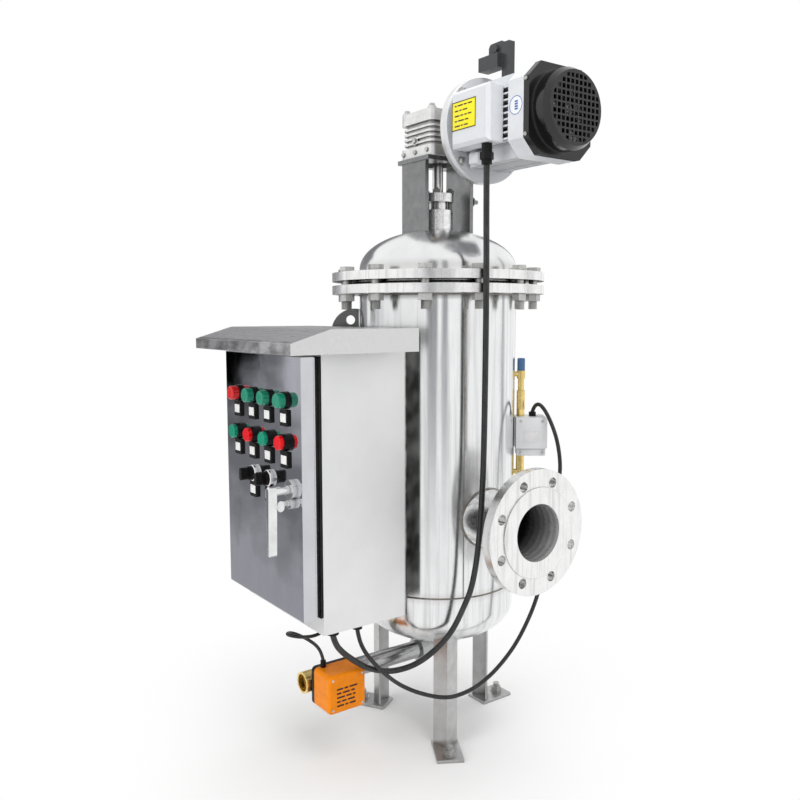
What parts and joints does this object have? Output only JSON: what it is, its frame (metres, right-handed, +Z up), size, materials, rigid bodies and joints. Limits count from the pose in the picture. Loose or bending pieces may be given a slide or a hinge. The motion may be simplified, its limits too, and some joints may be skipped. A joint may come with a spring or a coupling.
{
  "type": "self cleaning filter",
  "caption": "Upright brush type self cleaning filter vessel on legs, with geared motor, control cabinet, flanged inlet and outlet, motor driven drain valve and pressure switch.",
  "frame": {"origin": "on the vessel's axis, level with the underside of the foot plates", "axes": "+Z up along the vessel's axis, +X out of the inlet flange, -Y towards the cabinet door"},
  "size_m": [0.59, 0.6195, 1.296],
  "materials": {
    "stainless": "polished",
    "flange_steel": "turned",
    "steel": "machined",
    "zinc": "plated",
    "gasket_rubber": "matte",
    "packing": "braided",
    "cast_aluminium": "cast",
    "bronze": "machined",
    "motor_paint": "satin",
    "black_paint": "gloss",
    "dark_paint": "satin",
    "black_plastic": "satin",
    "bristle": "nylon bristle",
    "cabinet_steel": "satin",
    "mirror_steel": "mirror",
    "gear_grey": "satin",
    "red_plastic": "gloss",
    "green_plastic": "gloss",
    "lamp_plastic": "clear tinted",
    "chrome": "bright",
    "brass": "satin",
    "orange_plastic": "gloss",
    "silver_paint": "satin",
    "blue_plastic": "gloss",
    "cable_black": "satin"
  },
  "bodies": {
    "vessel": {"vessel_shell": "stainless", "bottom_head": "stainless", "body_flange": "flange_steel", "cover_flange": "flange_steel", "cover_gasket": "gasket_rubber", "cover_dome": "stainless", "cover_bolts": "zinc", "inlet_nozzle": "flange_steel", "outlet_nozzle": "flange_steel", "support_legs": "flange_steel", "stuffing_box": "steel", "packing_rings": "packing", "gland_follower": "black_paint", "gland_studs": "zinc", "drive_bracket": "steel", "gearbox_housing": "cast_aluminium", "gearbox_cover": "cast_aluminium", "motor_body": "motor_paint", "end_shields": "motor_paint", "fan_cowl": "black_paint", "terminal_box": "motor_paint", "terminal_lid": "motor_paint", "motor_bracket": "dark_paint", "partition_plate": "stainless", "filter_screen": "stainless", "cabinet_body": "cabinet_steel", "cabinet_hood": "cabinet_steel", "cabinet_hardware": "cabinet_steel", "control_panel": "gear_grey", "drain_line": "stainless", "valve_body": "brass", "actuator_base": "black_plastic", "actuator_cover": "orange_plastic", "pressure_switch": "silver_paint", "switch_fittings": "brass", "cable_glands": "black_plastic", "motor_cable": "cable_black", "switch_cable": "cable_black", "valve_cable": "cable_black"},
    "brush_assembly": {"brush_shaft": "steel", "brush_strips": "bristle", "worm_wheel": "bronze"},
    "rotor_assembly": {"motor_rotor": "steel", "worm": "steel", "cooling_fan": "black_plastic"},
    "door_assembly": {"cabinet_door": "mirror_steel", "door_gasket": "gasket_rubber", "control_bezels": "black_plastic", "lamp_lenses": "lamp_plastic", "selector_bezels": "chrome", "handle_base": "chrome"},
    "handle": {"door_handle": "chrome"},
    "button_1": {"push_button_1": "green_plastic"},
    "button_2": {"push_button_2": "red_plastic"},
    "button_3": {"push_button_3": "green_plastic"},
    "button_4": {"push_button_4": "red_plastic"},
    "selector_1": {"selector_knob_1": "black_plastic"},
    "selector_2": {"selector_knob_2": "black_plastic"},
    "ball": {"valve_ball": "chrome"},
    "tap": {"tap_knob": "blue_plastic"}
  },
  "joints": [
    {"name": "brush_spin", "type": "hinge", "parent": "vessel", "child": "brush_assembly", "pos_m": [0, 0, 1.146], "axis": [0, 0, 1], "continuous": true},
    {"name": "motor_spin", "type": "hinge", "parent": "vessel", "child": "rotor_assembly", "pos_m": [0.15, 0.04, 1.146], "axis": [1, 0, 0], "continuous": true},
    {"name": "door_swing", "type": "hinge", "parent": "vessel", "child": "door_assembly", "pos_m": [-0.163, -0.345, 0.53], "axis": [0, 0, -1], "range_deg": [0, 120]},
    {"name": "handle_turn", "type": "hinge", "parent": "door_assembly", "child": "handle", "pos_m": [0.091, -0.375, 0.531], "axis": [0, -1, 0], "range_deg": [0, 90]},
    {"name": "button_1_press", "type": "slide", "parent": "door_assembly", "child": "button_1", "axis": [0, 1, 0], "range_m": [0, 0.004], "stiffness_N_per_m": 500, "springref_m": -0.002},
    {"name": "button_2_press", "type": "slide", "parent": "door_assembly", "child": "button_2", "axis": [0, 1, 0], "range_m": [0, 0.004], "stiffness_N_per_m": 500, "springref_m": -0.002},
    {"name": "button_3_press", "type": "slide", "parent": "door_assembly", "child": "button_3", "axis": [0, 1, 0], "range_m": [0, 0.004], "stiffness_N_per_m": 500, "springref_m": -0.002},
    {"name": "button_4_press", "type": "slide", "parent": "door_assembly", "child": "button_4", "axis": [0, 1, 0], "range_m": [0, 0.004], "stiffness_N_per_m": 500, "springref_m": -0.002},
    {"name": "selector_1_turn", "type": "hinge", "parent": "door_assembly", "child": "selector_1", "pos_m": [-0.046, -0.38, 0.537], "axis": [0, -1, 0], "range_deg": [-45, 45]},
    {"name": "selector_2_turn", "type": "hinge", "parent": "door_assembly", "child": "selector_2", "pos_m": [0.012, -0.38, 0.537], "axis": [0, -1, 0], "range_deg": [-45, 45]},
    {"name": "drain_valve_turn", "type": "hinge", "parent": "vessel", "child": "ball", "pos_m": [0, -0.262, 0.152], "axis": [1, 0, 0], "range_deg": [0, 90]},
    {"name": "tap_turn", "type": "hinge", "parent": "vessel", "child": "tap", "pos_m": [0.10035, 0.12845, 0.71], "axis": [0, 0, 1], "range_deg": [0, 90]}
  ],
  "couplings": [
    {"joint": "motor_spin", "follows": "brush_spin", "ratio": 40}
  ]
}
